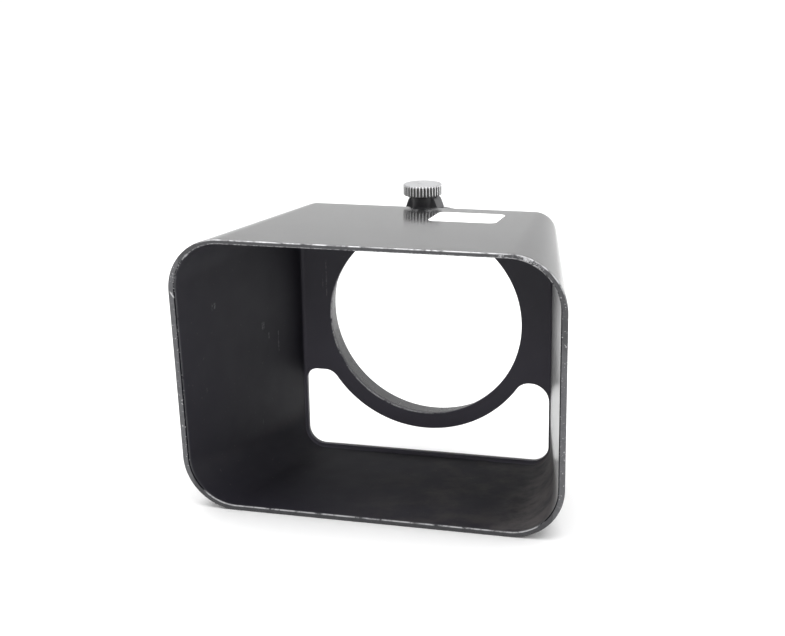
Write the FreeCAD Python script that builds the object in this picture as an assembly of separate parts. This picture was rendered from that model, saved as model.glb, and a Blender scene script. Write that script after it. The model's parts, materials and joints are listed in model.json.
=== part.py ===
import FreeCAD, Part
import math
import os

# Rectangular slip-on lens hood with a viewfinder window and a thumb-screw clamp. Millimetres.
# X is to the right seen from the front, Y runs back along the lens axis, Z is up.
# The origin is on the lens axis, on the face that the lens barrel stops against.

V = FreeCAD.Vector

# shell: a tapering rounded box with a back wall
WALL_BACK = 1.3            # thickness of the back wall
Y_FRONT = -56.7            # front rim, at the height of the lens axis
RAKE = 0.045               # the rim's plane leans forward at the top, mm per mm of height
Y_BACK = 0.0               # rear face of the back wall, the barrel's stop
FRONT_OUT = (45.9, 33.05, -33.45, 12.8, 12.8)  # half width, top, bottom, upper and lower corner radius
BACK_OUT = (34.1, 29.8, -38.6, 5.6, 6.6)
FRONT_IN = (44.3, 31.95, -32.15, 11.3, 11.3)
BACK_IN = (33.1, 28.8, -37.3, 4.8, 5.4)
RIM_ROUND = 0.35           # rounding of the front rim's two edges
BACK_ROUND = 0.9           # rounding round the outside of the back wall
INNER_ROUND = 0.8          # fillet between the back wall and the side walls
HOLE_R = 25.4              # lens opening in the back wall

# viewfinder window below the lens opening
WIN_HALF = 32.7
WIN_TOP = -15.25
WIN_SILL = -36.5
WIN_BRIDGE_R = 29.6        # strip left between the window and the lens opening
WIN_INNER_ROUND = 4.0
WIN_LEFT_ROUND = 3.0
WIN_RIGHT_ROUND = 4.8
WIN_LOW_ROUND = 4.5

# collar behind the back wall
COLLAR_IN_R = 27.5
COLLAR_OUT_R = 28.1
COLLAR_LEN = 9.4
COLLAR_LEAD = 0.2          # lead-in chamfer at the collar's mouth
COLLAR_EDGE = 0.25
SEAT_GAP = 0.02            # solder gap between the collar and what sits on it

# clamp screw axis, parallel to Z
SX = -2.35
SY = 7.0

# lug brazed on top of the collar
LUG_X = -2.3
LUG_FRONT = 5.6
LUG_BACK = 9.4
LUG_BASE_HALF = 4.3         # at the front; the sides spread towards the back
LUG_TOP_HALF = 3.2
LUG_SPREAD = 0.8
LUG_BASE_Z = 27.0
LUG_SLOPE_Z = 27.9         # where the sloping sides start
LUG_TOP_Z = 30.95
LUG_ROUND = 1.1

# pocket for the clamp shoe, through the collar into the bush
POCKET_HALF_X = 2.1
POCKET_HALF_Y = 1.6
POCKET_TOP = 29.62

# threaded bush, which stands out of the lug's front as a round boss
BUSH_R = 2.9
BUSH_BORE_R = 1.55
BUSH_TOP = 31.0
BUSH_EDGE = 0.25
BUSH_FLAT_Y = 8.95          # flat at the back, which keeps the bush from turning in the lug

# thumb screw
HEAD_R = 5.05
HEAD_Z0 = 31.5
HEAD_Z1 = 34.2
HEAD_CHAMFER = 0.25
KNURLS = 36
KNURL_DEPTH = 0.32
SHANK_R = 1.5
SHANK_END = 29.1
TIP_R = 0.8
TIP_END = 28.05
PEEN_R = 0.95
PEEN_END = 27.85

# clamp shoe, hung on the screw's tip and drawn up a little from the collar's bore
SHOE_RECESS = 0.15
SHOE_HALF_X = 2.0
SHOE_HALF_Y = 1.5
SHOE_TOP = 29.05
SHOE_BORE_R = 0.85
SHOE_SINK_R = 1.3
SHOE_SINK_Z = 28.4
KEEPER_R = 1.2
KEEPER_T = 0.3

# blank paper label stuck on the top wall, front and back edge measured from the stop face
LABEL_FRONT = -21.2
LABEL_BACK = -7.4
LABEL_LEFT = 5.8
LABEL_RIGHT = 22.6
LABEL_T = 0.1
LABEL_ROUND = 2.0


def section(sizes, y):
    """Rounded rectangle in the plane Y = y."""
    half, top, bottom, r_up, r_low = sizes
    k = math.sqrt(0.5)
    points = [
        (-half + r_low, bottom), (half - r_low, bottom),
        (half, bottom + r_low), (half, top - r_up),
        (half - r_up, top), (-half + r_up, top),
        (-half, top - r_up), (-half, bottom + r_low),
    ]
    p = [V(x, y, z) for x, z in points]
    m1 = V(half - r_low + k * r_low, y, bottom + r_low - k * r_low)
    m2 = V(half - r_up + k * r_up, y, top - r_up + k * r_up)
    m3 = V(-half + r_up - k * r_up, y, top - r_up + k * r_up)
    m4 = V(-half + r_low - k * r_low, y, bottom + r_low - k * r_low)
    edges = [
        Part.makeLine(p[0], p[1]),
        Part.Arc(p[1], m1, p[2]).toShape(),
        Part.makeLine(p[2], p[3]),
        Part.Arc(p[3], m2, p[4]).toShape(),
        Part.makeLine(p[4], p[5]),
        Part.Arc(p[5], m3, p[6]).toShape(),
        Part.makeLine(p[6], p[7]),
        Part.Arc(p[7], m4, p[0]).toShape(),
    ]
    return Part.Wire(edges)


def between(a, b, y):
    """Section sizes at Y = y on the straight taper from the front to the back."""
    t = (y - Y_FRONT) / (Y_BACK - WALL_BACK - Y_FRONT)
    return [p + (q - p) * t for p, q in zip(a, b)]


def taper(a, b, y0, y1):
    """Solid that follows the shell's taper between two planes: flat walls and conical corners."""
    front = section(between(a, b, y0), y0)
    back = section(between(a, b, y1), y1)
    faces = [Part.Face(front), Part.Face(back)]
    for e, f in zip(front.Edges, back.Edges):
        if isinstance(e.Curve, Part.Line):
            p = [e.Vertexes[0].Point, e.Vertexes[1].Point, f.Vertexes[1].Point, f.Vertexes[0].Point]
            faces.append(Part.Face(Part.makePolygon(p + p[:1])))
        else:
            faces.append(Part.makeRuledSurface(e, f))
    shell = Part.Shell(faces)
    shell.sewShape()
    solid = Part.Solid(shell)
    if solid.Volume < 0:
        solid.reverse()
    return solid


def window_tool():
    """The viewfinder window's outline, as a solid that runs through the back wall."""
    y0 = -WALL_BACK - 2.0
    depth = WALL_BACK + 4.0
    block = Part.makeBox(2 * WIN_HALF, depth, WIN_TOP - WIN_SILL, V(-WIN_HALF, y0, WIN_SILL))
    disc = Part.makeCylinder(WIN_BRIDGE_R, depth, V(0, y0, 0), V(0, 1, 0))
    tool = block.cut(disc)
    inner = []
    left = []
    right = []
    low = []
    for e in tool.Edges:
        c = e.CenterOfMass
        box = e.BoundBox
        if box.YLength < depth - 0.1 or box.XLength > 0.01 or box.ZLength > 0.01:
            continue
        if abs(c.x) < WIN_HALF - 0.1:
            inner.append(e)
        elif c.z < WIN_SILL + 0.1:
            low.append(e)
        elif c.x < 0:
            left.append(e)
        else:
            right.append(e)
    tool = tool.makeFillet(WIN_INNER_ROUND, inner)
    tool = tool.makeFillet(WIN_LEFT_ROUND, find_like(tool, left))
    tool = tool.makeFillet(WIN_RIGHT_ROUND, find_like(tool, right))
    return tool.makeFillet(WIN_LOW_ROUND, find_like(tool, low))


def find_like(shape, edges):
    """The shape's own edges with the same middle points as the given ones."""
    found = []
    for e in shape.Edges:
        for old in edges:
            if e.CenterOfMass.distanceToPoint(old.CenterOfMass) < 0.01:
                found.append(e)
    return found


def edges_on(shape, y, rake=0.0):
    """Edges that lie in the plane through Y = y, leaning forward at the top by the rake."""
    found = []
    for e in shape.Edges:
        if all(abs(v.Y + rake * v.Z - y) < 0.01 for v in e.Vertexes):
            found.append(e)
    return found


def rim_waste():
    """Everything in front of the raked rim."""
    reach = 60.0
    lean = RAKE * reach
    pts = [(Y_FRONT - lean, reach), (Y_FRONT + lean, -reach), (-90.0, -reach), (-90.0, reach)]
    wire = Part.makePolygon([V(-reach, y, z) for y, z in pts + pts[:1]])
    return Part.Face(wire).extrude(V(2 * reach, 0, 0))


def hood_shell():
    outer = taper(FRONT_OUT, BACK_OUT, Y_FRONT - 4.0, Y_BACK)
    outer = outer.makeFillet(BACK_ROUND, edges_on(outer, Y_BACK))
    inner = taper(FRONT_IN, BACK_IN, Y_FRONT - 6.0, -WALL_BACK)
    inner = inner.makeFillet(INNER_ROUND, edges_on(inner, -WALL_BACK))
    shell = outer.cut(inner).cut(rim_waste())
    shell = shell.makeFillet(RIM_ROUND, edges_on(shell, Y_FRONT, RAKE))
    hole = Part.makeCylinder(HOLE_R, 8.0, V(0, -4.0, 0), V(0, 1, 0))
    shell = shell.cut(hole)
    shell = shell.cut(window_tool())
    return shell


def screw_cylinder(r, z0, z1):
    return Part.makeCylinder(r, z1 - z0, V(SX, SY, z0), V(0, 0, 1))


def block_on_axis(half_x, half_y, z0, z1):
    return Part.makeBox(2 * half_x, 2 * half_y, z1 - z0, V(SX - half_x, SY - half_y, z0))


def shoe_pocket():
    return block_on_axis(POCKET_HALF_X, POCKET_HALF_Y, 20.0, POCKET_TOP)


def bush_blank():
    blank = screw_cylinder(BUSH_R, 20.0, BUSH_TOP)
    top = [e for e in blank.Edges if len(e.Vertexes) == 1 and e.CenterOfMass.z > BUSH_TOP - 0.1]
    blank = blank.makeChamfer(BUSH_EDGE, top)
    behind = Part.makeBox(20.0, 10.0, 20.0, V(SX - 10.0, BUSH_FLAT_Y, 15.0))
    return blank.cut(behind)


def collar_outside():
    """Cylinder that whatever sits on the collar is cut to."""
    return Part.makeCylinder(COLLAR_OUT_R + SEAT_GAP, 20.0, V(0, -5.0, 0), V(0, 1, 0))


def mount_collar():
    """Turned ring, drawn as its half section and revolved about the lens axis."""
    pts = [
        (COLLAR_IN_R, 0.0),
        (COLLAR_OUT_R, 0.0),
        (COLLAR_OUT_R, COLLAR_LEN - COLLAR_EDGE),
        (COLLAR_OUT_R - COLLAR_EDGE, COLLAR_LEN),
        (COLLAR_IN_R + COLLAR_LEAD, COLLAR_LEN),
        (COLLAR_IN_R, COLLAR_LEN - COLLAR_LEAD),
    ]
    wire = Part.makePolygon([V(r, y, 0) for r, y in pts + pts[:1]])
    ring = Part.Face(wire).revolve(V(0, 0, 0), V(0, 1, 0), 360)
    return ring.cut(shoe_pocket())


def lug_section(y, spread):
    z0 = LUG_BASE_Z
    z1 = LUG_TOP_Z
    base = LUG_BASE_HALF + spread
    top = LUG_TOP_HALF + spread
    pts = [(-base, z0), (base, z0), (base, LUG_SLOPE_Z), (top, z1), (-top, z1), (-base, LUG_SLOPE_Z)]
    return Part.makePolygon([V(LUG_X + x, y, z) for x, z in pts + pts[:1]])


def clamp_lug():
    """Saddle block that follows the collar, with sloping sides, wider at the back."""
    z1 = LUG_TOP_Z
    front = lug_section(LUG_FRONT, 0.0)
    back = lug_section(LUG_BACK, LUG_SPREAD)
    block = Part.makeLoft([front, back], True, True)
    top = []
    for e in block.Edges:
        b = e.BoundBox
        if b.ZMax > z1 - 0.01 and b.ZMin > z1 - 0.01 and b.YLength > 1.0:
            top.append(e)
    block = block.makeFillet(LUG_ROUND, top)
    block = block.cut(collar_outside())
    return block.cut(bush_blank())


def screw_bush():
    bush = bush_blank().cut(collar_outside()).cut(shoe_pocket())
    return bush.cut(screw_cylinder(BUSH_BORE_R, 20.0, 40.0))


def thumb_screw():
    head = screw_cylinder(HEAD_R, HEAD_Z0, HEAD_Z1)
    rim = [e for e in head.Edges if len(e.Vertexes) == 1]
    head = head.makeChamfer(HEAD_CHAMFER, rim)
    groove = []
    for i in range(KNURLS):
        a = 2 * math.pi * i / KNURLS
        tool_r = 0.36
        reach = HEAD_R + tool_r - KNURL_DEPTH
        x = SX + reach * math.cos(a)
        y = SY + reach * math.sin(a)
        groove.append(Part.makeCylinder(tool_r, 4.0, V(x, y, HEAD_Z0 - 0.5), V(0, 0, 1)))
    head = head.cut(Part.makeCompound(groove))
    screw = head.fuse(screw_cylinder(SHANK_R, SHANK_END, HEAD_Z0))
    screw = screw.fuse(screw_cylinder(TIP_R, TIP_END, SHANK_END))
    screw = screw.fuse(screw_cylinder(PEEN_R, PEEN_END, TIP_END))
    return screw.removeSplitter()


def clamp_shoe():
    pad = block_on_axis(SHOE_HALF_X, SHOE_HALF_Y, 24.0, SHOE_TOP)
    pad = pad.cut(Part.makeCylinder(COLLAR_IN_R, 20.0, V(0, -5.0, SHOE_RECESS), V(0, 1, 0)))
    pad = pad.cut(screw_cylinder(SHOE_BORE_R, 24.0, 30.0))
    return pad.cut(screw_cylinder(SHOE_SINK_R, 24.0, SHOE_SINK_Z))


def shoe_keeper():
    z1 = TIP_END + KEEPER_T
    ring = screw_cylinder(KEEPER_R, TIP_END, z1)
    return ring.cut(screw_cylinder(TIP_R, TIP_END - 1.0, z1 + 1.0))


def label_corner(x, y, along_x, along_y):
    """Rounded corner of the label: where the straight edges end, and the arc's middle."""
    k = LABEL_ROUND * (1 - math.sqrt(0.5))
    a = (x + along_x * LABEL_ROUND, y)
    b = (x, y + along_y * LABEL_ROUND)
    m = (x + along_x * k, y + along_y * k)
    return a, m, b


def paper_label():
    """Thin rounded rectangle lying on the sloping top wall."""
    slope = (FRONT_OUT[1] - BACK_OUT[1]) / (Y_BACK - WALL_BACK - Y_FRONT)

    def on_wall(p, lift):
        x, y = p
        z = FRONT_OUT[1] - slope * (y - Y_FRONT) + lift
        return V(x, y, z)

    c = [
        label_corner(LABEL_LEFT, LABEL_FRONT, 1, 1),
        label_corner(LABEL_LEFT, LABEL_BACK, 1, -1),
        label_corner(LABEL_RIGHT, LABEL_BACK, -1, -1),
        label_corner(LABEL_RIGHT, LABEL_FRONT, -1, 1),
    ]
    order = [(c[0][0], c[0][1], c[0][2]), (c[1][2], c[1][1], c[1][0])]
    order += [(c[2][0], c[2][1], c[2][2]), (c[3][2], c[3][1], c[3][0])]
    edges = []
    for i, (a, m, b) in enumerate(order):
        following = order[(i + 1) % 4][0]
        edges.append(Part.Arc(on_wall(a, 0), on_wall(m, 0), on_wall(b, 0)).toShape())
        edges.append(Part.makeLine(on_wall(b, 0), on_wall(following, 0)))
    face = Part.Face(Part.Wire(edges))
    return face.extrude(V(0, 0, LABEL_T))


def main():
    os.makedirs("parts", exist_ok=True)
    pieces = {
        "hood_shell": hood_shell(),
        "mount_collar": mount_collar(),
        "clamp_lug": clamp_lug(),
        "screw_bush": screw_bush(),
        "thumb_screw": thumb_screw(),
        "clamp_shoe": clamp_shoe(),
        "shoe_keeper": shoe_keeper(),
        "paper_label": paper_label(),
    }
    for name, shape in pieces.items():
        if len(shape.Solids) == 1:
            shape = shape.Solids[0]
        b = shape.optimalBoundingBox()
        print(name, shape.ShapeType, shape.isValid(), round(shape.Volume, 1), len(shape.Faces))
        print("   ", round(b.XMin, 2), round(b.XMax, 2), round(b.YMin, 2), round(b.YMax, 2),
              round(b.ZMin, 2), round(b.ZMax, 2))
        shape.exportStep("parts/" + name + ".step")


main()
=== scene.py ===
import json
import math
from functools import reduce

import bmesh
import bpy
from mathutils import Euler, Matrix, Vector, noise


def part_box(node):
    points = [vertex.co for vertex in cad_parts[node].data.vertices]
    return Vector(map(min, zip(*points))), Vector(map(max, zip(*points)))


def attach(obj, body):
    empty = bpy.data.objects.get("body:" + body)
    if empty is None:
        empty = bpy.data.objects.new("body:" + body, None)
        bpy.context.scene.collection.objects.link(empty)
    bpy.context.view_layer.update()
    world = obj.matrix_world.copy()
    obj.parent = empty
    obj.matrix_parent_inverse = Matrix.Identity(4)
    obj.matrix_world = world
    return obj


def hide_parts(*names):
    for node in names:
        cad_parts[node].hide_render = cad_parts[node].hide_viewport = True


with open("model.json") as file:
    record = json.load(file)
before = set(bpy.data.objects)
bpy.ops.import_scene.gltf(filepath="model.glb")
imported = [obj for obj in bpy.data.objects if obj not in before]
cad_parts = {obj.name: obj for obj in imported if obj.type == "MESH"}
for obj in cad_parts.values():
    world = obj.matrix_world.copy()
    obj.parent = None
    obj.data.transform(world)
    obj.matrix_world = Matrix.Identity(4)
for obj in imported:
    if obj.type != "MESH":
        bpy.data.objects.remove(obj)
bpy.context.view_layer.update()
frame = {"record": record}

# Rectangular slip-on lens hood, black metal, with a clamp screw on its rear collar. Metres, in the
# row frame: +Y runs back along the lens axis, +Z is up, and the origin is where the lens barrel stops.

MM = 0.001
SHELL_LOW, SHELL_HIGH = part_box("hood_shell")
COLLAR_LOW, COLLAR_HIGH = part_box("mount_collar")
LUG_LOW, LUG_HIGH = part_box("clamp_lug")
BUSH_LOW, BUSH_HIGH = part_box("screw_bush")
SCREW_LOW, SCREW_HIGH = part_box("thumb_screw")
SHOE_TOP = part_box("clamp_shoe")[1].z
KEEPER_LOW, KEEPER_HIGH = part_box("shoe_keeper")
LABEL_LOW, LABEL_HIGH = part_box("paper_label")

# shell sizes: half width, top, bottom, upper and lower corner radius, at the front rim and at the
# front face of the back wall
RAKE = 0.045               # the rim's plane leans forward at the top
Y_FRONT = SHELL_LOW.y + RAKE * SHELL_HIGH.z
Y_BACK = SHELL_HIGH.y
WALL_BACK = 1.3 * MM
Y_WALL = Y_BACK - WALL_BACK
FRONT_OUT = [v * MM for v in (45.9, 33.05, -33.45, 12.8, 12.8)]
BACK_OUT = [v * MM for v in (34.1, 29.8, -38.6, 5.6, 6.6)]
FRONT_IN = [v * MM for v in (44.3, 31.95, -32.15, 11.3, 11.3)]
BACK_IN = [v * MM for v in (33.1, 28.8, -37.3, 4.8, 5.4)]
RIM_ROUND = 0.35 * MM
BACK_ROUND = 0.9 * MM
INNER_ROUND = 0.7 * MM
HOLE_R = 25.4 * MM
EDGE_ROUND = 0.16 * MM     # rounding of the edges of the opening and the window

# viewfinder window
WIN_HALF = 32.7 * MM
WIN_TOP = -15.25 * MM
WIN_SILL = -36.5 * MM
WIN_BRIDGE_R = 29.6 * MM
WIN_INNER_ROUND = 4.0 * MM
WIN_LEFT_ROUND = 3.0 * MM
WIN_RIGHT_ROUND = 4.8 * MM
WIN_LOW_ROUND = 4.5 * MM

# collar, and the pocket in it for the clamp shoe
COLLAR_IN_R = 27.5 * MM
COLLAR_OUT_R = COLLAR_HIGH.x
COLLAR_LEAD = 0.2 * MM
SADDLE_R = COLLAR_OUT_R + 0.02 * MM
POCKET_HALF = (2.1 * MM, 1.6 * MM)
POCKET_TOP = 29.62 * MM

# lug and bush
LUG_X = (LUG_LOW.x + LUG_HIGH.x) / 2
LUG_BASE_HALF = 4.3 * MM
LUG_TOP_HALF = 3.2 * MM
LUG_SPREAD = 0.8 * MM      # how much wider the lug is on each side at the back
LUG_BASE_Z = 27.0 * MM
LUG_SLOPE_Z = 27.9 * MM
LUG_ROUND = 1.1 * MM
BUSH_R = (BUSH_HIGH.x - BUSH_LOW.x) / 2
BUSH_BORE_R = 1.55 * MM

# thumb screw, from its head down to the peened tip
SCREW_X = (SCREW_LOW.x + SCREW_HIGH.x) / 2
SCREW_Y = (SCREW_LOW.y + SCREW_HIGH.y) / 2
SCREW_TOP = SCREW_HIGH.z
HEAD_R = (SCREW_HIGH.x - SCREW_LOW.x) / 2
HEAD_LOW = 31.5 * MM
HEAD_CHAMFER = 0.2 * MM
KNURLS = 36
KNURL_DEPTH = 0.36 * MM
CENTRE_DRILL_R = 1.25 * MM
CENTRE_DRILL_DEPTH = 0.05 * MM
PITCH = 0.5 * MM
THREAD_R = 1.5 * MM
THREAD_DEPTH = 0.18 * MM
THREAD_END = 29.15 * MM
THREAD_FADE = 0.4 * MM
TIP = ((29.1, 1.2), (29.1, 0.8), (28.08, 0.8), (28.05, 0.95), (27.9, 0.95), (27.85, 0.85), (27.85, 0.0))

# clamp shoe and its washer
SHOE_HALF = (2.0 * MM, 1.5 * MM)
SHOE_RECESS = 0.15 * MM
SHOE_BORE_R = 0.85 * MM
SHOE_SINK_R = 1.3 * MM
SHOE_SINK_TOP = 28.4 * MM
KEEPER_BORE_R = 0.81 * MM

# label: corner radius, and half the height of its waves in millimetres
LABEL_ROUND = 2.0 * MM
LABEL_WAVE = 0.012

# heights and depths that tool solids reach beyond the pieces they cut
TOOL_LOW, TOOL_HIGH = 20 * MM, 40 * MM
TOOL_FRONT, TOOL_BACK = -5 * MM, 15 * MM

# points round the shell: on the lower and upper walls, the side walls and each corner
N_WALL, N_SIDE, N_CORNER = 90, 60, 28


# ---------------------------------------------------------------- meshes

def mesh_object(name, verts, faces, smooth=True):
    mesh = bpy.data.meshes.new(name)
    mesh.from_pydata([tuple(v) for v in verts], [], faces)
    mesh.validate()
    bm = bmesh.new()
    bm.from_mesh(mesh)
    bmesh.ops.recalc_face_normals(bm, faces=bm.faces)
    bm.to_mesh(mesh)
    bm.free()
    if smooth:
        mesh.shade_smooth()
    obj = bpy.data.objects.new(name, mesh)
    bpy.context.scene.collection.objects.link(obj)
    return obj


def weld(obj, close=False):
    """Joins the points that lie on each other, and closes the open ends if asked."""
    bm = bmesh.new()
    bm.from_mesh(obj.data)
    bmesh.ops.remove_doubles(bm, verts=bm.verts, dist=1e-7)
    if close:
        bmesh.ops.holes_fill(bm, edges=bm.edges)
    bmesh.ops.recalc_face_normals(bm, faces=bm.faces)
    bm.to_mesh(obj.data)
    bm.free()


def apply_modifiers(obj):
    """The object's mesh becomes what its modifiers give."""
    graph = bpy.context.evaluated_depsgraph_get()
    graph.update()
    mesh = bpy.data.meshes.new_from_object(obj.evaluated_get(graph))
    obj.modifiers.clear()
    old = obj.data
    obj.data = mesh
    bpy.data.meshes.remove(old)


def remove(*objects):
    for obj in objects:
        bpy.data.objects.remove(obj)


def even_normals(obj):
    """Large flat faces keep their own direction where they meet a small rounding, and plain
    corners stay crisp."""
    bm = bmesh.new()
    bm.from_mesh(obj.data)
    for edge in bm.edges:
        if len(edge.link_faces) == 2 and edge.calc_face_angle() > math.radians(50):
            edge.smooth = False
    bm.to_mesh(obj.data)
    bm.free()
    mod = obj.modifiers.new("normals", "WEIGHTED_NORMAL")
    mod.weight = 100
    mod.keep_sharp = True
    apply_modifiers(obj)


def rings_to_faces(n_rings, n, close_ends=False):
    faces = []
    for i in range(n_rings - 1):
        for j in range(n):
            k = (j + 1) % n
            faces.append((i * n + j, i * n + k, (i + 1) * n + k, (i + 1) * n + j))
    if close_ends:
        faces.append(tuple(range(n)))
        faces.append(tuple(reversed(range((n_rings - 1) * n, n_rings * n))))
    return faces


def arc(cx, cz, r, a0, a1, n):
    """n points on an arc in degrees, without its last point."""
    out = []
    for i in range(n):
        a = math.radians(a0 + (a1 - a0) * i / n)
        out.append((cx + r * math.cos(a), cz + r * math.sin(a)))
    return out


def line(p, q, n):
    """n points on a straight run, without its last point."""
    return [(p[0] + (q[0] - p[0]) * i / n, p[1] + (q[1] - p[1]) * i / n) for i in range(n)]


def rounded_loop(sizes):
    """Points (x, z) round a rounded rectangle, the same count for any sizes."""
    half, top, bottom, r_up, r_low = sizes
    xl, xu = half - r_low, half - r_up
    zl, zu = bottom + r_low, top - r_up
    pts = line((-xl, bottom), (xl, bottom), N_WALL)
    pts += arc(xl, zl, r_low, -90, 0, N_CORNER)
    pts += line((half, zl), (half, zu), N_SIDE)
    pts += arc(xu, zu, r_up, 0, 90, N_CORNER)
    pts += line((xu, top), (-xu, top), N_WALL)
    pts += arc(-xu, zu, r_up, 90, 180, N_CORNER)
    pts += line((-half, zu), (-half, zl), N_SIDE)
    pts += arc(-xl, zl, r_low, 180, 270, N_CORNER)
    return pts


def between(a, b, y):
    """Section sizes at y on the shell's straight taper."""
    t = (y - Y_FRONT) / (Y_WALL - Y_FRONT)
    return [p + (q - p) * t for p, q in zip(a, b)]


def shrink(sizes, d):
    half, top, bottom, r_up, r_low = sizes
    return [half - d, top - d, bottom + d, r_up - d, r_low - d]


def depth_inside(x, z, sizes):
    """How far (x, z) lies inside a rounded rectangle."""
    half, top, bottom, r_up, r_low = sizes
    middle = (top + bottom) / 2
    r = r_up if z > middle else r_low
    dx = abs(x) - (half - r)
    dz = abs(z - middle) - ((top - bottom) / 2 - r)
    outside = math.hypot(max(dx, 0.0), max(dz, 0.0))
    return r - outside - min(max(dx, dz), 0.0)


def quarter(r, n):
    """(distance along the wall, offset from it) of a quarter round's points, from wall to face."""
    for i in range(1, n + 1):
        a = math.radians(90 * i / n)
        yield r * (1 - math.sin(a)), r * (1 - math.cos(a))


# ---------------------------------------------------------------- shell

def shell_rings():
    """(y, sizes, which) of each ring of a shell with a square rim, from the rear face over the
    outside, the rim and the inside to the front face of the back wall. The last value runs from 0
    on the outer wall to 1 on the inner wall."""
    rings = []
    for along, inset in reversed(list(quarter(BACK_ROUND, 7))):
        y = Y_BACK - along
        rings.append((y, shrink(between(FRONT_OUT, BACK_OUT, y), inset), 0))
    steps = 30
    for i in range(steps + 1):
        f = (i / steps) ** 0.75
        y = (Y_BACK - BACK_ROUND) * (1 - f) + (Y_FRONT + RIM_ROUND) * f
        rings.append((y, between(FRONT_OUT, BACK_OUT, y), 0))
    for along, inset in quarter(RIM_ROUND, 6):
        y = Y_FRONT + along
        rings.append((y, shrink(between(FRONT_OUT, BACK_OUT, y), inset), 0))
    a = shrink(FRONT_OUT, RIM_ROUND)
    b = shrink(FRONT_IN, -RIM_ROUND)
    for i in range(1, 6):
        rings.append((Y_FRONT, [p + (q - p) * i / 6 for p, q in zip(a, b)], i / 6))
    for along, inset in reversed(list(quarter(RIM_ROUND, 6))):
        y = Y_FRONT + along
        rings.append((y, shrink(between(FRONT_IN, BACK_IN, y), -inset), 1))
    for i in range(steps + 1):
        f = (i / steps) ** 1.3
        y = (Y_FRONT + RIM_ROUND) * (1 - f) + (Y_WALL - INNER_ROUND) * f
        rings.append((y, between(FRONT_IN, BACK_IN, y), 1))
    for along, inset in quarter(INNER_ROUND, 10):
        y = Y_WALL - along
        rings.append((y, shrink(between(FRONT_IN, BACK_IN, y), inset), 1))
    return rings


def slopes(front, back):
    """How each point of a wall's loop moves in x and z for each metre back."""
    run = Y_WALL - Y_FRONT
    pairs = zip(rounded_loop(front), rounded_loop(back))
    return [((q[0] - p[0]) / run, (q[1] - p[1]) / run) for p, q in pairs]


def raked(v, outer, inner, which):
    """A vertex moved along its own wall, so that the rim leans forward at the top."""
    near = (Y_WALL - v.y) / (Y_WALL - Y_FRONT)
    shift = -RAKE * v.z * max(0.0, near)
    dx = outer[0] + (inner[0] - outer[0]) * which
    dz = outer[1] + (inner[1] - outer[1]) * which
    return Vector((v.x + dx * shift, v.y + shift, v.z + dz * shift))


def ahead(v):
    """Distance behind the raked rim."""
    return v.y - (Y_FRONT - RAKE * v.z)


def worn_rim(v):
    """Small nicks and an uneven edge on the front rim, as on a hood that has been knocked about."""
    near = 1 - ahead(v) / (1.2 * MM)
    if near <= 0:
        return v
    long_wave = noise.noise(Vector((v.x, 0, v.z)) * 90)
    nick = noise.noise(Vector((v.x, 0.013, v.z)) * 700)
    depth = 0.035 * MM * max(0.0, long_wave) + 0.16 * MM * max(0.0, nick - 0.36)
    return Vector((v.x, v.y + depth * near, v.z))


def window_outline():
    """Points (x, z) of the viewfinder window: a rounded rectangle whose top follows the lens
    opening, with a lobe on either side."""
    cz = WIN_TOP - WIN_INNER_ROUND
    reach = WIN_BRIDGE_R + WIN_INNER_ROUND
    cx = math.sqrt(reach ** 2 - cz ** 2)
    meet = math.degrees(math.atan2(cz, cx))
    low, left, right = WIN_LOW_ROUND, WIN_LEFT_ROUND, WIN_RIGHT_ROUND
    pts = arc(-WIN_HALF + low, WIN_SILL + low, low, 180, 270, 24)
    pts += arc(WIN_HALF - low, WIN_SILL + low, low, 270, 360, 24)
    pts += arc(WIN_HALF - right, WIN_TOP - right, right, 0, 90, 24)
    pts += arc(cx, cz, WIN_INNER_ROUND, 90, 180 + meet, 20)
    pts += arc(0, 0, WIN_BRIDGE_R, meet, -180 - meet, 90)
    pts += arc(-cx, cz, WIN_INNER_ROUND, -meet, 90, 20)
    pts += arc(-WIN_HALF + left, WIN_TOP - left, left, 90, 180, 24)
    return pts


def prism(name, outline, y0, y1):
    n = len(outline)
    verts = [(x, y, z) for y in (y0, y1) for x, z in outline]
    return mesh_object(name, verts, rings_to_faces(2, n, close_ends=True), smooth=False)


def cut(obj, tool):
    mod = obj.modifiers.new("cut", "BOOLEAN")
    mod.operation = "DIFFERENCE"
    mod.solver = "EXACT"
    mod.object = tool


def float_layer(mesh, name, values):
    layer = mesh.attributes.new(name, "FLOAT", "POINT")
    layer.data.foreach_set("value", values)


def mark_shell(mesh):
    """Layers that the paint reads: nearness to the rim's outer and inner edge, the rim's flat
    face, and 1 on everything inside the hood."""
    layers = {"rim_outer": [], "rim_inner": [], "rim_face": [], "inside": []}
    for v in mesh.vertices:
        x, y, z = v.co
        along = max(0.0, ahead(v.co))
        d_out = max(0.0, depth_inside(x, z, between(FRONT_OUT, BACK_OUT, y)))
        d_in = depth_inside(x, z, between(FRONT_IN, BACK_IN, min(y, Y_WALL)))
        layers["rim_outer"].append(math.exp(-math.hypot(d_out, along) / (0.45 * MM)))
        layers["rim_inner"].append(math.exp(-math.hypot(d_in, along) / (0.45 * MM)))
        layers["rim_face"].append(1.0 if along < 0.36 * MM else 0.0)
        layers["inside"].append(1.0 if d_in > -0.2 * MM and y < Y_BACK - 0.4 * MM else 0.0)
    for name, values in layers.items():
        float_layer(mesh, name, values)


def bevel_edges(obj, width, angle=40, segments=3):
    mod = obj.modifiers.new("edges", "BEVEL")
    mod.limit_method = "ANGLE"
    mod.angle_limit = math.radians(angle)
    mod.width = width
    mod.segments = segments


def hand_over(obj, node, body, material):
    """The finished piece takes the place of its CAD node."""
    even_normals(obj)
    give(obj, material)
    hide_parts(node)
    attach(obj, body)
    return obj


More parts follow.
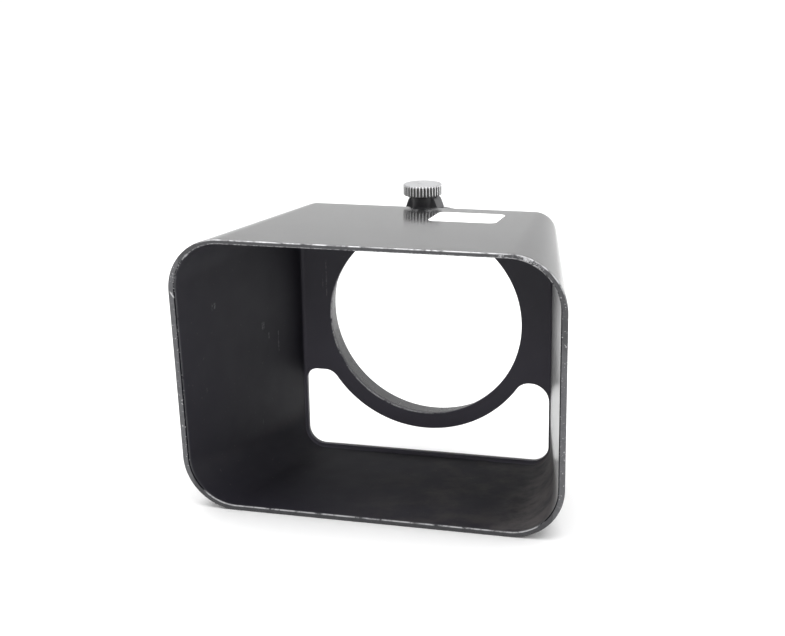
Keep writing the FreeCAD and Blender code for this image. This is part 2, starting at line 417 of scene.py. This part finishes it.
def make_shell(material):
    rings = shell_rings()
    outer, inner = slopes(FRONT_OUT, BACK_OUT), slopes(FRONT_IN, BACK_IN)
    verts = []
    for y, sizes, which in rings:
        for j, (x, z) in enumerate(rounded_loop(sizes)):
            verts.append(worn_rim(raked(Vector((x, y, z)), outer[j], inner[j], which)))
    n = len(outer)
    shell = mesh_object("shell", verts, rings_to_faces(len(rings), n, close_ends=True))
    y0, y1 = Y_WALL - 3 * MM, Y_BACK + 3 * MM
    hole = prism("hole_tool", arc(0, 0, HOLE_R, 0, 360, 240), y0, y1)
    window = prism("window_tool", window_outline(), y0, y1)
    cut(shell, hole)
    cut(shell, window)
    bevel_edges(shell, EDGE_ROUND, angle=50)
    apply_modifiers(shell)
    remove(hole, window)
    mark_shell(shell.data)
    return hand_over(shell, "hood_shell", "hood", material)


# ---------------------------------------------------------------- collar, clamp and label

def rounded(points):
    """A closed section of (u, v, r) corners, each corner turned into a small curve."""
    out = []
    n = len(points)
    for i, (u, v, r) in enumerate(points):
        p = Vector((u, v))
        a = (Vector(points[i - 1][:2]) - p).normalized() * r
        b = (Vector(points[(i + 1) % n][:2]) - p).normalized() * r
        steps = 6 if r > 0 else 0
        for k in range(steps + 1):
            t = k / max(steps, 1)
            q = p + a * (1 - t) ** 2 + b * t ** 2
            out.append((q.x, q.y))
    return out


def ring_solid(name, section, n, centre=None):
    """A closed section of (radius, height) points turned about the lens axis, or about the
    vertical through (x, y) = centre."""
    verts = []
    for j in range(n):
        c, s = math.cos(math.tau * j / n), math.sin(math.tau * j / n)
        for r, h in section:
            if centre is None:
                verts.append(Vector((r * c, h, r * s)))
            else:
                verts.append(Vector((centre[0] + r * c, centre[1] + r * s, h)))
    m = len(section)
    faces = []
    for j in range(n):
        k = (j + 1) % n
        for i in range(m):
            l = (i + 1) % m
            faces.append((j * m + i, j * m + l, k * m + l, k * m + i))
    return mesh_object(name, verts, faces)


def upright(name, outline, z0, z1):
    """A prism along Z from an outline of (x, y) points."""
    n = len(outline)
    verts = [(x, y, z) for z in (z0, z1) for x, y in outline]
    return mesh_object(name, verts, rings_to_faces(2, n, close_ends=True), smooth=False)


def block(name, half, z0, z1):
    """A block round the screw's axis."""
    dx, dy = half
    corners = ((-dx, -dy), (dx, -dy), (dx, dy), (-dx, dy))
    return upright(name, [(SCREW_X + x, SCREW_Y + y) for x, y in corners], z0, z1)


def drill(name, r, n, z0=TOOL_LOW, z1=TOOL_HIGH):
    """A round tool on the screw's axis."""
    return upright(name, arc(SCREW_X, SCREW_Y, r, 0, 360, n), z0, z1)


def saddle_tool():
    return prism("saddle_tool", arc(0, 0, SADDLE_R, 0, 360, 256), TOOL_FRONT, TOOL_BACK)


def cut_away(obj, *tools):
    for tool in tools:
        cut(obj, tool)
    apply_modifiers(obj)
    remove(*tools)


def make_collar(material):
    a, b = COLLAR_IN_R, COLLAR_OUT_R
    y0, y1 = COLLAR_LOW.y, COLLAR_HIGH.y
    section = rounded([(a, y0, 0), (a, y1 - COLLAR_LEAD, 0.06 * MM), (a + COLLAR_LEAD, y1, 0.06 * MM),
                       (b, y1, 0.3 * MM), (b, y0, 0)])
    collar = ring_solid("collar", section, 256)
    cut_away(collar, block("pocket_tool", POCKET_HALF, TOOL_LOW, TOOL_HIGH))
    bevel_edges(collar, 0.06 * MM, angle=60, segments=2)
    apply_modifiers(collar)
    return hand_over(collar, "mount_collar", "hood", material)


def bush_profile(r):
    """Outline (x, y) of the bush: round, with a flat at the back."""
    reach = BUSH_HIGH.y - SCREW_Y
    start = math.degrees(math.asin(reach / BUSH_R))
    pts = arc(SCREW_X, SCREW_Y, r, 180 - start, 360 + start, 96)
    return pts + arc(SCREW_X, SCREW_Y, r, 360 + start, 360 + start + 1, 1)


def make_lug(material):
    base, top = LUG_BASE_HALF, LUG_TOP_HALF
    outline = rounded([(-base, LUG_BASE_Z, 0), (base, LUG_BASE_Z, 0), (base, LUG_SLOPE_Z, 0.3 * MM),
                       (top, LUG_HIGH.z, LUG_ROUND), (-top, LUG_HIGH.z, LUG_ROUND),
                       (-base, LUG_SLOPE_Z, 0.3 * MM)])
    verts = [(LUG_X + u, LUG_LOW.y, v) for u, v in outline]
    verts += [(LUG_X + u + math.copysign(LUG_SPREAD, u), LUG_HIGH.y, v) for u, v in outline]
    lug = mesh_object("lug", verts, rings_to_faces(2, len(outline), close_ends=True), smooth=False)
    seat = upright("seat_tool", bush_profile(BUSH_R + 0.01 * MM), TOOL_LOW, TOOL_HIGH)
    cut_away(lug, saddle_tool())
    bevel_edges(lug, 0.14 * MM, angle=35)
    cut_away(lug, seat)
    lug.data.shade_smooth()
    return hand_over(lug, "clamp_lug", "hood", material)


def make_bush(material):
    bush = upright("bush", bush_profile(BUSH_R), LUG_BASE_Z, BUSH_HIGH.z)
    pocket = block("pocket_tool", POCKET_HALF, TOOL_LOW, POCKET_TOP)
    cut_away(bush, saddle_tool(), pocket, drill("bore_tool", BUSH_BORE_R, 96))
    bevel_edges(bush, 0.16 * MM, angle=50)
    apply_modifiers(bush)
    bush.data.shade_smooth()
    return hand_over(bush, "screw_bush", "hood", material)


def knurled(angle):
    """Radius of the head's edge: rounded ridges with V grooves between them."""
    wave = abs(math.sin(angle * KNURLS / 2))
    return HEAD_R - KNURL_DEPTH * (1 - wave ** 1.8)


def threaded(angle, z):
    """Radius of the shank's helical thread, which runs out at both ends."""
    phase = (z / PITCH - angle / math.tau) % 1.0
    fade = min(1.0, (HEAD_LOW - z) / THREAD_FADE, (z - THREAD_END) / THREAD_FADE + 0.1)
    return THREAD_R - THREAD_DEPTH * max(0.0, fade) * abs(2 * phase - 1)


def screw_rows():
    """(z, radii) of each ring of the screw, from the middle of its head's top to its tip."""
    n = KNURLS * 12
    angles = [math.tau * j / n for j in range(n)]
    edge = [knurled(a) for a in angles]

    def even(z, r):
        return z, [r] * n

    def chamfered(z, share):
        return z, [min(HEAD_R - HEAD_CHAMFER * (1 - share), r) for r in edge]

    rows = []
    for r in (0.0, 0.5, 1.2, 1.25, 1.3, 2.4, 3.4, 4.2, 4.5):
        sunk = CENTRE_DRILL_DEPTH if r * MM < CENTRE_DRILL_R else 0.0
        rows.append(even(SCREW_TOP - sunk, r * MM))
    for i in range(5):
        rows.append(chamfered(SCREW_TOP - HEAD_CHAMFER * i / 4, i / 4))
    height = SCREW_TOP - HEAD_LOW - 2 * HEAD_CHAMFER
    for i in range(1, 8):
        rows.append((SCREW_TOP - HEAD_CHAMFER - height * i / 8, edge))
    for i in range(4, -1, -1):
        rows.append(chamfered(HEAD_LOW + HEAD_CHAMFER * i / 4, i / 4))
    rows.append(even(HEAD_LOW, 2.2 * MM))
    rows.append(even(HEAD_LOW, 1.45 * MM))
    z = HEAD_LOW - 0.05 * MM
    while z > THREAD_END:
        rows.append((z, [threaded(a, z) for a in angles]))
        z -= PITCH / 12
    rows += [even(z * MM, r * MM) for z, r in TIP]
    return angles, rows


def groove_depth(v):
    """0 on a knurl's ridge and 1 at the bottom of a groove, for the nickel's darker grooves and painted
    ridge highlight.
    """
    r = math.hypot(v.x - SCREW_X, v.y - SCREW_Y)
    if r <= 4.4 * MM or not HEAD_LOW - 0.01 * MM < v.z < SCREW_TOP - HEAD_CHAMFER:
        return 0.0
    return min(1.0, max(0.0, (HEAD_R - r) / KNURL_DEPTH))


def make_screw(material):
    angles, rows = screw_rows()
    verts = []
    for z, radii in rows:
        for a, r in zip(angles, radii):
            verts.append(Vector((SCREW_X + r * math.cos(a), SCREW_Y + r * math.sin(a), z)))
    screw = mesh_object("screw", verts, rings_to_faces(len(rows), len(angles)))
    weld(screw)
    float_layer(screw.data, "groove", [groove_depth(v.co) for v in screw.data.vertices])
    return hand_over(screw, "thumb_screw", "screw", material)


def make_shoe(material):
    shoe = block("shoe", SHOE_HALF, 24 * MM, SHOE_TOP)
    curve = prism("curve_tool", arc(0, SHOE_RECESS, COLLAR_IN_R, 0, 360, 512), 0.0, TOOL_BACK)
    sink = drill("sink_tool", SHOE_SINK_R, 64, z1=SHOE_SINK_TOP)
    cut_away(shoe, curve, sink, drill("bore_tool", SHOE_BORE_R, 64))
    bevel_edges(shoe, 0.07 * MM, angle=40)
    apply_modifiers(shoe)
    shoe.data.shade_smooth()
    return hand_over(shoe, "clamp_shoe", "shoe", material)


def make_keeper(material):
    z0, z1 = KEEPER_LOW.z, KEEPER_HIGH.z
    r = (KEEPER_HIGH.x - KEEPER_LOW.x) / 2
    section = rounded([(KEEPER_BORE_R, z0, 0.05 * MM), (r, z0, 0.08 * MM),
                       (r, z1, 0.08 * MM), (KEEPER_BORE_R, z1, 0.05 * MM)])
    keeper = ring_solid("keeper", section, 64, (SCREW_X, SCREW_Y))
    return hand_over(keeper, "shoe_keeper", "screw", material)


def sheet_loop(half_x, half_y, r):
    """Points (x, y) round a rounded rectangle about the origin."""
    dx, dy = half_x - r, half_y - r
    centres = ((dx, dy), (-dx, dy), (-dx, -dy), (dx, -dy))
    loop = []
    for i, (x, y) in enumerate(centres):
        end = math.radians(90 * i + 90)
        ux, uy = r * math.cos(end), r * math.sin(end)
        nx, ny = centres[(i + 1) % 4]
        loop += arc(x, y, r, 90 * i, 90 * i + 90, 10)
        loop += line((x + ux, y + uy), (nx + ux, ny + uy), 24)
    return loop


def make_label(material):
    """Thin paper on the top wall, with rounded corners, a faintly waved face and soft edges."""
    x0, x1, y0, y1 = LABEL_LOW.x, LABEL_HIGH.x, LABEL_LOW.y, LABEL_HIGH.y
    loop = sheet_loop((x1 - x0) / 2, (y1 - y0) / 2, LABEL_ROUND)
    edge = [(0.9, 0.0), (0.998, 0.0), (1.0, 0.02), (1.0, 0.06), (0.998, 0.085)]
    face = [(0.992, 0.1), (0.97, 0.1)] + [(0.97 * (1 - k / 12), 0.1) for k in range(1, 13)]
    top_slope = (BACK_OUT[1] - FRONT_OUT[1]) / (Y_WALL - Y_FRONT)
    verts = []
    for scale, lift in edge + face:
        for u, v in loop:
            x, y = (x0 + x1) / 2 + u * scale, (y0 + y1) / 2 + v * scale
            z = FRONT_OUT[1] + top_slope * (y - Y_FRONT)
            if (scale, lift) in face:
                wave = LABEL_WAVE * MM * noise.noise(Vector((x, y, 0)) * 260)
                z += (lift - LABEL_WAVE) * MM + wave
            else:
                z += lift * MM
            verts.append(Vector((x, y, z)))
    label = mesh_object("label", verts, rings_to_faces(len(edge + face), len(loop)))
    weld(label, close=True)
    return hand_over(label, "paper_label", "hood", material)


# ---------------------------------------------------------------- materials

class Paint:
    """A small helper that builds a node material."""

    def __init__(self, name):
        self.material = bpy.data.materials.new(name)
        self.material.use_nodes = True
        self.tree = self.material.node_tree
        self.shader = self.tree.nodes["Principled BSDF"]
        self.coords = self.tree.nodes.new("ShaderNodeTexCoord").outputs["Object"]

    def node(self, kind, **settings):
        n = self.tree.nodes.new(kind)
        for key, value in settings.items():
            setattr(n, key, value)
        return n

    def feed(self, socket, value):
        if isinstance(value, bpy.types.NodeSocket):
            self.tree.links.new(value, socket)
        else:
            socket.default_value = value

    def set(self, **sockets):
        for key, value in sockets.items():
            self.feed(self.shader.inputs[key.replace("_", " ")], value)

    def noise(self, scale, detail=3.0, roughness=0.5, vector=None, distortion=0.0):
        n = self.node("ShaderNodeTexNoise")
        self.feed(n.inputs["Vector"], self.coords if vector is None else vector)
        n.inputs["Scale"].default_value = scale
        n.inputs["Detail"].default_value = detail
        n.inputs["Roughness"].default_value = roughness
        n.inputs["Distortion"].default_value = distortion
        return n.outputs["Fac"]

    def stretched(self, x, y, z):
        n = self.node("ShaderNodeMapping")
        self.feed(n.inputs["Vector"], self.coords)
        n.inputs["Scale"].default_value = (x, y, z)
        return n.outputs["Vector"]

    def math(self, operation, a, b=0.0, c=0.0):
        n = self.node("ShaderNodeMath", operation=operation)
        for socket, value in zip(n.inputs, (a, b, c)):
            self.feed(socket, value)
        return n.outputs[0]

    def steps(self, value, low, high, out_low=0.0, out_high=1.0):
        n = self.node("ShaderNodeMapRange", interpolation_type="SMOOTHSTEP")
        self.feed(n.inputs["Value"], value)
        n.inputs["From Min"].default_value = low
        n.inputs["From Max"].default_value = high
        n.inputs["To Min"].default_value = out_low
        n.inputs["To Max"].default_value = out_high
        return n.outputs["Result"]

    def mix(self, factor, a, b):
        n = self.node("ShaderNodeMix", data_type="RGBA")
        self.feed(n.inputs["Factor"], factor)
        self.feed(n.inputs[6], a if not isinstance(a, tuple) else (*a, 1))
        self.feed(n.inputs[7], b if not isinstance(b, tuple) else (*b, 1))
        return n.outputs[2]

    def layer(self, name):
        return self.node("ShaderNodeAttribute", attribute_name=name).outputs["Fac"]

    def axes(self):
        n = self.node("ShaderNodeSeparateXYZ")
        self.feed(n.inputs[0], self.coords)
        return n.outputs

    def bump(self, height, strength, distance, before=None):
        n = self.node("ShaderNodeBump")
        n.inputs["Strength"].default_value = strength
        n.inputs["Distance"].default_value = distance
        self.feed(n.inputs["Height"], height)
        if before is not None:
            self.feed(n.inputs["Normal"], before)
        return n.outputs["Normal"]

    def spot(self, x, z, r):
        """1 near a point of the front, seen along the lens axis, fading to 0 at r (millimetres)."""
        px, _, pz = self.axes()
        dx, dz = self.less(px, x * MM), self.less(pz, z * MM)
        d = self.math("SQRT", self.plus(self.times(dx, dx), self.times(dz, dz)))
        return self.steps(d, 0.3 * r * MM, r * MM, 1.0, 0.0)

    def times(self, *values):
        return reduce(lambda a, b: self.math("MULTIPLY", a, b), values)

    def most(self, *values):
        return reduce(lambda a, b: self.math("MAXIMUM", a, b), values)

    def plus(self, value, other):
        return self.math("ADD", value, other)

    def less(self, value, other):
        return self.math("SUBTRACT", value, other)


def give(obj, material):
    obj.data.materials.clear()
    obj.data.materials.append(material)


def rim_wear(p, ragged, dotted):
    """Worn places on the front rim, and a painted shade line: (bare metal, grey rubbed paint, painted shade
    line along the inner edge).
    There are broken bright lines on the upper rim and on the lower rim's inner edge, chips on the
    upper right corner, and dull grey sides."""
    x, _, z = p.axes()
    outer, inner, face = p.layer("rim_outer"), p.layer("rim_inner"), p.layer("rim_face")
    out_x = p.math("ABSOLUTE", x)

    high = p.steps(z, 0.020, 0.029)
    upper = p.times(high, p.steps(x, -0.0405, -0.0355))
    edge_out = p.times(p.steps(outer, 0.48, 0.66), upper, p.steps(ragged, 0.34, 0.58))
    edge_in = p.times(p.steps(inner, 0.52, 0.68), high, p.steps(dotted, 0.38, 0.62), 0.7)
    lower = p.steps(z, -0.0285, -0.0305)
    edge_low = p.times(p.steps(inner, 0.48, 0.68), lower, p.steps(ragged, 0.34, 0.56), 0.85)

    chip_zone = p.times(p.steps(x, 0.026, 0.034), p.steps(x, 0.0425, 0.0395), p.steps(z, 0.024, 0.028))
    flakes = p.steps(p.noise(650, 4, 0.65, distortion=1.0), 0.53, 0.60)
    flakes = p.most(flakes, p.steps(dotted, 0.58, 0.64))
    chips = p.times(face, chip_zone, flakes, 0.8)
    left_chip = p.times(p.spot(-40.7, 28.6, 0.9), p.steps(inner, 0.2, 0.5))
    slant = p.math("ABSOLUTE", p.plus(p.less(x, -0.0451), p.times(p.less(z, 0.0195), 0.6)))
    nick = p.times(p.spot(-45.1, 19.5, 1.1), p.steps(slant, 0.00028, 0.0001), face, 0.8)
    side_speck = p.times(p.steps(out_x, 0.0437, 0.0445), face, p.steps(dotted, 0.63, 0.69), 0.85)
    metal = p.most(edge_out, edge_in, edge_low, chips, left_chip, nick, side_speck)

    sides = p.times(p.steps(out_x, 0.0425, 0.0438), p.steps(p.plus(x, p.times(z, 1.5)), 0.072, 0.055))
    rubbed = p.times(face, p.steps(ragged, 0.25, 0.70, 0.55, 0.85), p.steps(sides, 0.0, 1.0, 0.45, 1.0))
    # painted shade: a near-black line along the rim's inner edge, where the rim turns into the dark inside
    painted_shade_line = p.times(p.steps(inner, 0.50, 0.66), p.steps(out_x, 0.034, 0.040), p.less(1.0, metal))
    return metal, rubbed, painted_shade_line


def opening_wear(p, ragged):
    """Bright line on the lower left of the lens opening's front edge."""
    x, y, z = p.axes()
    radius = p.math("SQRT", p.plus(p.times(x, x), p.times(z, z)))
    from_circle = p.math("ABSOLUTE", p.less(radius, HOLE_R))
    off_edge = p.plus(from_circle, p.math("ABSOLUTE", p.less(y, Y_WALL)))
    part = p.times(p.steps(z, 0.012, 0.002), p.steps(x, 0.010, -0.006))
    return p.times(p.steps(off_edge, 0.00034, 0.00016), part, p.steps(ragged, 0.34, 0.56), 0.8)


def scratches(p, inside):
    """Light scratches that run up and down inside, and scuffs along the outside."""
    hair = p.noise(1.0, 3, 0.6, vector=p.stretched(1500, 90, 60))
    hair = p.times(inside, p.steps(hair, 0.70, 0.76), p.steps(p.noise(70, 2), 0.52, 0.62))
    rub = p.noise(1.0, 4, 0.6, vector=p.stretched(120, 1400, 1400))
    rub = p.times(p.less(1.0, inside), p.steps(rub, 0.68, 0.76), p.steps(p.noise(38, 2), 0.5, 0.64))
    return p.most(p.plus(p.times(hair, 0.6), p.times(rub, 0.22)), p.times(scuffs(p), inside))


def scuffs(p):
    """Single light scratches and rubs on the inside: on the left wall by (y, z), on the back wall
    by (x, z), each with its place across, its ends and its half width in millimetres."""
    x, y, z = p.axes()
    left = p.steps(x, -0.033, -0.034)
    back = p.steps(y, Y_WALL - 1.0 * MM, Y_WALL - 0.5 * MM)
    gaps = p.steps(p.noise(1800, 4, 0.7), 0.44, 0.58)
    on_left = ((-14.1, -7.0, -1.0, 0.28), (-18.6, -2.4, -0.2, 0.3), (-21.2, 0.8, 3.2, 0.9),
               (-42.3, 11.6, 13.7, 1.1), (-46.9, -7.8, -6.2, 0.35))
    on_back = ((-26.5, 4.0, 15.0, 0.22), (-27.5, 7.0, 11.0, 0.18))
    soft_end = 0.6 * MM
    marks = 0.0
    for wall, along, places in ((left, y, on_left), (back, x, on_back)):
        for place in places:
            across, low, high, thin = (v * MM for v in place)
            off = p.math("ABSOLUTE", p.less(along, across))
            ends = p.times(p.steps(z, low, low + soft_end), p.steps(z, high, high - soft_end))
            mark = p.times(wall, p.steps(off, thin, 0.4 * thin), ends, gaps, 0.55)
            marks = p.math("MAXIMUM", marks, mark)
    return marks


def shell_colour(p, inside, broad):
    """Enamel before its wear: near black outside, dull and dusty inside, and a back wall with painted light,
    lighter towards the bottom.
    """
    x, y, z = p.axes()
    outside_tone = p.mix(broad, (0.0085, 0.0085, 0.0095), (0.015, 0.015, 0.0165))
    wall_tone = p.mix(broad, (0.0125, 0.0115, 0.0165), (0.0175, 0.0165, 0.0225))
    # back wall lighter than the side walls, partly its paint tone and partly painted light; the lightening
    # towards the bottom is painted light
    back_tone_with_painted_light = p.mix(p.steps(z, 0.012, -0.022), (0.044, 0.042, 0.051), (0.078, 0.074, 0.092))
    on_back = p.steps(y, Y_WALL - 1.2 * MM, Y_WALL - 0.4 * MM)
    colour = p.mix(inside, outside_tone, p.mix(on_back, wall_tone, back_tone_with_painted_light))

    settle = p.times(inside, p.steps(z, -0.024, -0.032), p.steps(x, -0.02, 0.015))
    settle = p.times(settle, p.steps(p.noise(110, 5, 0.7), 0.38, 0.72))
    corner = p.times(inside, p.steps(x, 0.024, 0.036), p.steps(z, -0.012, -0.024))
    corner = p.times(corner, p.steps(p.noise(150, 5, 0.7), 0.2, 0.7))
    specks = p.times(inside, p.steps(p.noise(1300, 2, 0.5), 0.70, 0.76))
    colour = p.mix(p.times(settle, 0.35), colour, (0.072, 0.062, 0.056))
    colour = p.mix(p.times(corner, 0.75), colour, (0.118, 0.108, 0.106))
    return p.mix(p.times(specks, 0.25), colour, (0.12, 0.11, 0.10))


def shell_paint():
    """Black enamel, glossy outside and dull inside, worn through on the front rim, with a painted shade line
    along the rim's inner edge and painted light on the back wall.
    """
    p = Paint("shell_paint")
    x, _, z = p.axes()
    inside = p.layer("inside")
    outside = p.less(1.0, inside)
    fine = p.noise(900, 4, 0.6)
    broad = p.noise(45, 3, 0.5)
    ragged = p.noise(420, 5, 0.7, distortion=0.6)
    dotted = p.noise(2100, 3, 0.6)
    metal, rubbed, painted_shade_line = rim_wear(p, ragged, dotted)
    metal = p.most(metal, opening_wear(p, ragged))
    marks = scratches(p, inside)

    colour = p.mix(rubbed, shell_colour(p, inside, broad), (0.105, 0.105, 0.112))
    # painted shade: near-black line along the rim's inner edge
    colour = p.mix(painted_shade_line, colour, (0.006, 0.006, 0.008))
    colour = p.mix(marks, colour, (0.16, 0.16, 0.165))
    colour = p.mix(metal, colour, (0.52, 0.52, 0.53))

    # the inside is smoother on the lower right, and duller at the bottom
    low = p.steps(z, -0.024, -0.031)
    right = p.times(p.steps(x, 0.0325, 0.0345), p.steps(z, -0.028, -0.022))
    rough_out = p.steps(fine, 0.3, 0.7, 0.10, 0.15)
    rough_in = p.less(p.steps(p.noise(160, 3), 0.3, 0.7, 0.60, 0.64), p.times(right, 0.38))
    rough_in = p.plus(rough_in, p.times(low, 0.1))
    rough = p.plus(p.times(outside, rough_out), p.times(inside, rough_in))
    rough = p.plus(rough, p.plus(p.times(rubbed, 0.35), p.times(marks, 0.25)))
    specular = p.plus(p.steps(inside, 0.0, 1.0, 0.375, 0.24), p.times(right, inside, 0.3))
    # the painted shade line also loses its specular, so it stays dark
    specular = p.times(p.less(specular, p.times(low, inside, 0.13)), p.less(1.0, painted_shade_line))
    p.set(Base_Color=colour, Roughness=p.math("MINIMUM", rough, 0.75), Metallic=p.times(metal, 0.55))
    p.set(Specular_IOR_Level=specular, Sheen_Weight=p.times(right, inside, 0.45), Sheen_Roughness=0.3)

    waves = p.bump(p.times(p.noise(60, 3, 0.5), outside), 0.25, 0.00008)
    relief = p.plus(p.times(fine, 0.15), p.less(p.times(marks, -0.5), p.times(metal, 0.9)))
    p.set(Normal=p.bump(relief, 0.5, 0.00003, before=waves))
    return p.material


def turned_paint(name, dark, light, rough, specular=0.5, lines=True):
    """Black enamel on a turned or filed piece, with faint tool marks and rubbed spots."""
    p = Paint(name)
    if lines:
        tool = p.noise(1.0, 2, 0.5, vector=p.stretched(40, 4500, 40))
    else:
        tool = p.noise(1500, 3, 0.6)
    patch = p.noise(140, 4, 0.6)
    rubbed = p.steps(p.noise(520, 5, 0.7), 0.64, 0.74)
    colour = p.mix(patch, dark, light)
    colour = p.mix(p.times(rubbed, 0.35), colour, (0.20, 0.20, 0.20))
    p.set(Base_Color=colour, Roughness=p.steps(patch, 0.3, 0.7, rough, rough + 0.12))
    p.set(Specular_IOR_Level=specular, Normal=p.bump(p.plus(tool, rubbed), 0.35, 0.00003))
    return p.material


def nickel():
    """Nickel plate, slightly clouded, darker in the knurl's grooves, with a painted highlight on the knurl's
    ridge tops.
    """
    p = Paint("nickel")
    groove = p.layer("groove")
    cloud = p.noise(330, 5, 0.65)
    speck = p.steps(p.noise(1900, 3, 0.6), 0.62, 0.72)
    # the knurl's grooves are darker, rougher and less metallic
    groove_darkening = p.steps(p.plus(groove, p.times(cloud, 0.3)), 0.30, 0.62)
    colour = p.mix(cloud, (0.42, 0.42, 0.43), (0.62, 0.62, 0.63))
    # painted highlight: the ridge tops on the knurled side are painted near white
    side = p.steps(p.axes()[2], SCREW_TOP - 0.12 * MM, SCREW_TOP - 0.25 * MM)
    colour = p.mix(p.times(side, p.steps(groove, 0.25, 0.05)), colour, (0.86, 0.86, 0.86))
    colour = p.mix(p.times(speck, 0.45), colour, (0.30, 0.29, 0.27))
    colour = p.mix(p.times(groove_darkening, 0.9), colour, (0.035, 0.033, 0.03))
    rough = p.plus(p.steps(cloud, 0.3, 0.7, 0.26, 0.42), p.times(groove_darkening, 0.25))
    p.set(Base_Color=colour, Roughness=rough, Metallic=p.less(0.92, p.times(groove_darkening, 0.6)))
    p.set(Normal=p.bump(p.plus(p.noise(800, 4, 0.6), p.times(speck, -0.6)), 0.4, 0.00004))
    return p.material


def bare_metal(name, dark, light, tarnish, rough):
    """Plain turned metal with tarnish and fine tool marks."""
    p = Paint(name)
    cloud = p.noise(700, 5, 0.65)
    spots = p.steps(p.noise(1500, 4, 0.6), 0.56, 0.68)
    colour = p.mix(cloud, dark, light)
    colour = p.mix(p.times(spots, 0.6), colour, tarnish)
    p.set(Base_Color=colour, Roughness=p.steps(cloud, 0.3, 0.7, rough, rough + 0.2), Metallic=0.95)
    p.set(Normal=p.bump(p.noise(1.0, 3, 0.5, vector=p.stretched(3000, 500, 3000)), 0.4, 0.00003))
    return p.material


def paper():
    """White paper, faintly uneven, a little soiled in patches."""
    p = Paint("paper")
    fibre = p.noise(2600, 5, 0.7)
    stain = p.steps(p.noise(210, 4, 0.6), 0.55, 0.75)
    colour = p.mix(fibre, (0.90, 0.90, 0.895), (0.97, 0.97, 0.965))
    colour = p.mix(p.times(stain, 0.10), colour, (0.70, 0.68, 0.62))
    p.set(Base_Color=colour, Roughness=p.steps(fibre, 0.3, 0.7, 0.72, 0.88), Specular_IOR_Level=0.3)
    p.set(Normal=p.bump(fibre, 0.3, 0.00002))
    return p.material


def backdrop_paint():
    p = Paint("backdrop_white")
    grain = p.noise(30, 2, 0.5)
    p.set(Base_Color=p.mix(grain, (0.925, 0.925, 0.925), (0.935, 0.935, 0.935)), Roughness=0.6)
    return p.material


# ---------------------------------------------------------------- studio

def studio():
    """A white floor under the hood's resting face that sweeps up behind it, and soft light."""
    mount = next(m for m in frame["record"]["mounts"] if m["name"] == "table_rest")
    down = Vector(mount["axis"])
    tilt = math.atan2(down.y, -down.z)
    place = Matrix.Translation(Vector(mount["pos_m"])) @ Matrix.Rotation(tilt, 4, "X")
    half, back, bend, height = 2.5, 1.6, 0.8, 3.5
    profile = [(-half, 0.0), (back, 0.0)]
    for i in range(1, 17):
        a = math.radians(90 * i / 16)
        profile.append((back + bend * math.sin(a), bend * (1 - math.cos(a))))
    profile.append((back + bend, height))
    verts = []
    for y, z in profile:
        verts += [place @ Vector((-half, y, z)), place @ Vector((half, y, z))]
    faces = [(2 * i, 2 * i + 1, 2 * i + 3, 2 * i + 2) for i in range(len(profile) - 1)]
    sweep = mesh_object("backdrop", verts, faces)
    give(sweep, backdrop_paint())

    sky()
    area_light("overhead", (0.0, -0.05, 0.9), (0, 0, 0), 1.2, 9.0)


def sky():
    """White room, dimmer behind the camera and brighter on the right."""
    world = bpy.data.worlds.new("studio")
    bpy.context.scene.world = world
    world.use_nodes = True
    tree = world.node_tree
    direction = tree.nodes.new("ShaderNodeTexCoord").outputs["Generated"]
    split = tree.nodes.new("ShaderNodeSeparateXYZ")
    tree.links.new(direction, split.inputs[0])
    strength = tree.nodes.new("ShaderNodeMath")
    strength.operation = "MULTIPLY"
    fades = (("Y", (-0.95, -0.5, 0.8, 1.1)), ("X", (0.2, 0.8, 1.0, 1.4)))
    for i, (axis, ends) in enumerate(fades):
        fade = tree.nodes.new("ShaderNodeMapRange")
        fade.interpolation_type = "SMOOTHSTEP"
        for key, value in zip(("From Min", "From Max", "To Min", "To Max"), ends):
            fade.inputs[key].default_value = value
        tree.links.new(split.outputs[axis], fade.inputs["Value"])
        tree.links.new(fade.outputs["Result"], strength.inputs[i])
    background = tree.nodes["Background"]
    background.inputs["Color"].default_value = (1, 1, 1, 1)
    tree.links.new(strength.outputs[0], background.inputs["Strength"])


def area_light(name, place, target, size, power):
    data = bpy.data.lights.new(name, "AREA")
    data.shape = "SQUARE"
    data.size = size
    data.energy = power
    obj = bpy.data.objects.new(name, data)
    obj.location = place
    obj.rotation_mode = "QUATERNION"
    obj.rotation_quaternion = (Vector(target) - Vector(place)).to_track_quat("-Z", "Y")
    bpy.context.scene.collection.objects.link(obj)


def camera():
    data = bpy.data.cameras.new("camera")
    data.sensor_width = 36
    data.lens = 68.8
    data.clip_start = 0.01
    data.clip_end = 20
    obj = bpy.data.objects.new("camera", data)
    obj.location = (0.0931, -0.3622, 0.1098)
    obj.rotation_euler = Euler([math.radians(v) for v in (73.69, 0.96, 15.47)])
    bpy.context.scene.collection.objects.link(obj)
    bpy.context.scene.camera = obj


def main():
    make_shell(shell_paint())
    make_collar(turned_paint("collar_paint", (0.026, 0.026, 0.028), (0.038, 0.038, 0.041), 0.22))
    make_lug(turned_paint("lug_paint", (0.034, 0.034, 0.037), (0.054, 0.053, 0.057), 0.30, 0.8, lines=False))
    make_bush(turned_paint("bush_paint", (0.017, 0.0165, 0.019), (0.025, 0.024, 0.027), 0.42, lines=False))
    make_screw(nickel())
    make_shoe(bare_metal("brass", (0.50, 0.36, 0.14), (0.72, 0.55, 0.25), (0.20, 0.13, 0.06), 0.26))
    make_keeper(bare_metal("steel", (0.42, 0.42, 0.43), (0.62, 0.62, 0.62), (0.20, 0.17, 0.14), 0.28))
    make_label(paper())
    studio()
    camera()
    bpy.context.scene.view_settings.view_transform = "Standard"


main()
